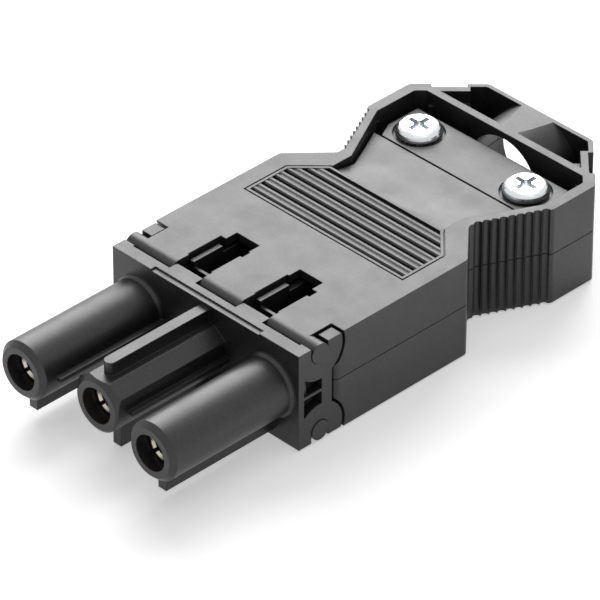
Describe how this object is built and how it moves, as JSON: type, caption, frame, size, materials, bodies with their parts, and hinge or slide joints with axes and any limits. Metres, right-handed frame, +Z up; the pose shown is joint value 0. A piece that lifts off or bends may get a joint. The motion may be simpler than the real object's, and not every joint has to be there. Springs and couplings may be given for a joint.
{
  "type": "rewirable installation power connector",
  "caption": "Rewirable socket-half power connector with stepped sleeves, hinged clamshell shells, screw terminals and a screwed cable clamp.",
  "frame": {"origin": "middle of the footprint, on the underside of the flange and lower shell", "axes": "+X to the right across the sleeves, -Y the way the sleeves point, +Z up through the clamp screw heads"},
  "size_m": [0.0288, 0.069, 0.0124],
  "materials": {
    "nylon": "fine matte grain",
    "zinc": "bright zinc plated",
    "tinned_brass": "tin plated, dull",
    "bare_brass": "machined",
    "spring_steel": "rolled"
  },
  "bodies": {
    "carrier": {"contact_carrier": "nylon", "socket_contact_line": "tinned_brass", "socket_contact_earth": "tinned_brass", "socket_contact_neutral": "tinned_brass", "contact_spring_line": "spring_steel", "contact_spring_earth": "spring_steel", "contact_spring_neutral": "spring_steel", "terminal_block_line": "bare_brass", "terminal_block_earth": "bare_brass", "terminal_block_neutral": "bare_brass"},
    "top": {"upper_shell": "nylon"},
    "bottom": {"lower_shell": "nylon"},
    "saddle": {"strain_relief_saddle": "nylon"},
    "clamp_left": {"clamp_screw_left": "zinc"},
    "clamp_right": {"clamp_screw_right": "zinc"},
    "guard_line": {"wire_guard_line": "spring_steel"},
    "driver_line": {"terminal_screw_line": "zinc"},
    "guard_earth": {"wire_guard_earth": "spring_steel"},
    "driver_earth": {"terminal_screw_earth": "zinc"},
    "guard_neutral": {"wire_guard_neutral": "spring_steel"},
    "driver_neutral": {"terminal_screw_neutral": "zinc"}
  },
  "joints": [
    {"name": "top_hinge", "type": "hinge", "parent": "carrier", "child": "top", "pos_m": [0, -0.014, 0.0112], "axis": [1, 0, 0], "range_deg": [0, 85]},
    {"name": "bottom_hinge", "type": "hinge", "parent": "carrier", "child": "bottom", "pos_m": [0, -0.014, 0.0012], "axis": [-1, 0, 0], "range_deg": [0, 75]},
    {"name": "saddle_lift", "type": "slide", "parent": "bottom", "child": "saddle", "axis": [0, 0, 1], "range_m": [-0.002, 0.0012]},
    {"name": "clamp_turn_left", "type": "hinge", "parent": "saddle", "child": "clamp_left", "pos_m": [-0.0082, 0.0236, 0.01045], "axis": [0, 0, 1], "range_deg": [-538, 323]},
    {"name": "clamp_turn_right", "type": "hinge", "parent": "saddle", "child": "clamp_right", "pos_m": [0.0082, 0.0236, 0.01045], "axis": [0, 0, 1], "range_deg": [-538, 323]},
    {"name": "guard_slide_line", "type": "slide", "parent": "carrier", "child": "guard_line", "axis": [0, 0, 1], "range_m": [-0.0012, 0]},
    {"name": "terminal_turn_line", "type": "hinge", "parent": "guard_line", "child": "driver_line", "pos_m": [-0.01, -0.005, 0.0065], "axis": [0, 0, 1], "range_deg": [-865, 0]},
    {"name": "guard_slide_earth", "type": "slide", "parent": "carrier", "child": "guard_earth", "axis": [0, 0, 1], "range_m": [-0.0012, 0]},
    {"name": "terminal_turn_earth", "type": "hinge", "parent": "guard_earth", "child": "driver_earth", "pos_m": [0, -0.005, 0.0065], "axis": [0, 0, 1], "range_deg": [-865, 0]},
    {"name": "guard_slide_neutral", "type": "slide", "parent": "carrier", "child": "guard_neutral", "axis": [0, 0, 1], "range_m": [-0.0012, 0]},
    {"name": "terminal_turn_neutral", "type": "hinge", "parent": "guard_neutral", "child": "driver_neutral", "pos_m": [0.01, -0.005, 0.0065], "axis": [0, 0, 1], "range_deg": [-865, 0]}
  ],
  "couplings": [
    {"joint": "clamp_turn_left", "follows": "saddle_lift", "rad_per_m": 4688.9},
    {"joint": "clamp_turn_right", "follows": "saddle_lift", "rad_per_m": 4688.9},
    {"joint": "terminal_turn_line", "follows": "guard_slide_line", "rad_per_m": 12566},
    {"joint": "terminal_turn_earth", "follows": "guard_slide_earth", "rad_per_m": 12566},
    {"joint": "terminal_turn_neutral", "follows": "guard_slide_neutral", "rad_per_m": 12566}
  ]
}
